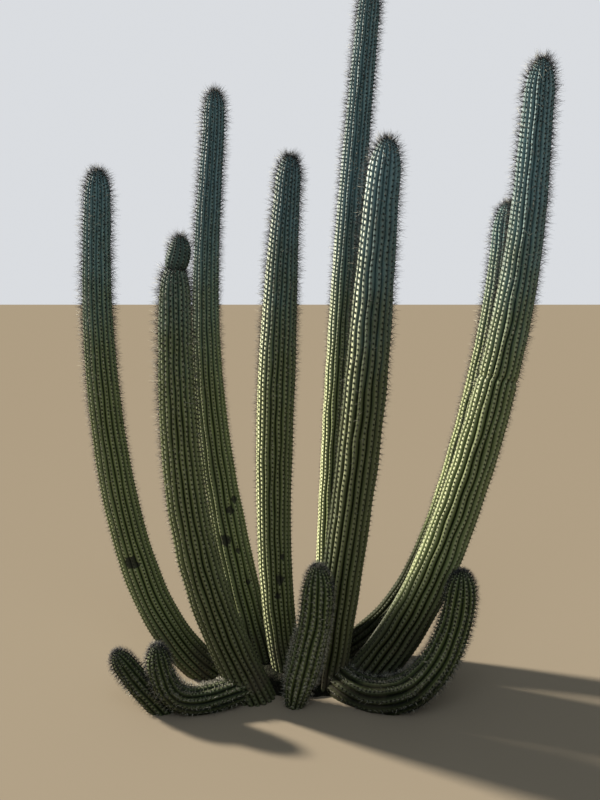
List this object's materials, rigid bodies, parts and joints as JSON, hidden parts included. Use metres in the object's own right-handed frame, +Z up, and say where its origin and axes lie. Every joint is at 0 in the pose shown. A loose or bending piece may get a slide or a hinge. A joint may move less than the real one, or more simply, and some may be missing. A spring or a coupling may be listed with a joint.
{
  "type": "organ pipe cactus",
  "caption": "Clump-forming columnar cactus: tall ribbed unbranched stems curving up from one low woody crown, with short sprouts at its foot, cut flat at ground level.",
  "frame": {"origin": "middle of the foot of the plant, on the flat cut at ground level", "axes": "+Z up along the stems, +X to the right and +Y away from the viewer as the picture shows the plant"},
  "size_m": [1.8647, 0.7246, 2.925],
  "materials": {
    "grown_flesh": "matt waxy green skin, ribbed, with rows of spine cushions",
    "young_flesh": "matt green skin under close pale spines",
    "crown_wood": "rough corky bark"
  },
  "bodies": {
    "root": {"root_crown": "crown_wood", "stem_broad": "grown_flesh", "stem_front_sprout": "young_flesh", "stem_left_outer_lower": "grown_flesh", "stem_left_outer_middle": "grown_flesh", "stem_left_outer_upper": "grown_flesh", "stem_left_sprout_inner_lower": "young_flesh", "stem_left_sprout_inner_upper": "young_flesh", "stem_left_sprout_outer": "young_flesh", "stem_left_tall_lower": "grown_flesh", "stem_left_tall_middle": "grown_flesh", "stem_left_tall_upper": "grown_flesh", "stem_middle": "grown_flesh", "stem_necked_head": "young_flesh", "stem_necked_lower": "grown_flesh", "stem_necked_upper": "grown_flesh", "stem_right_big_lower": "grown_flesh", "stem_right_big_middle": "grown_flesh", "stem_right_big_upper": "grown_flesh", "stem_right_rear_lower": "grown_flesh", "stem_right_rear_middle": "grown_flesh", "stem_right_rear_upper": "grown_flesh", "stem_right_sprout_lower": "young_flesh", "stem_right_sprout_upper": "young_flesh", "stem_tallest_lower": "grown_flesh", "stem_tallest_upper": "grown_flesh"}
  },
  "joints": []
}
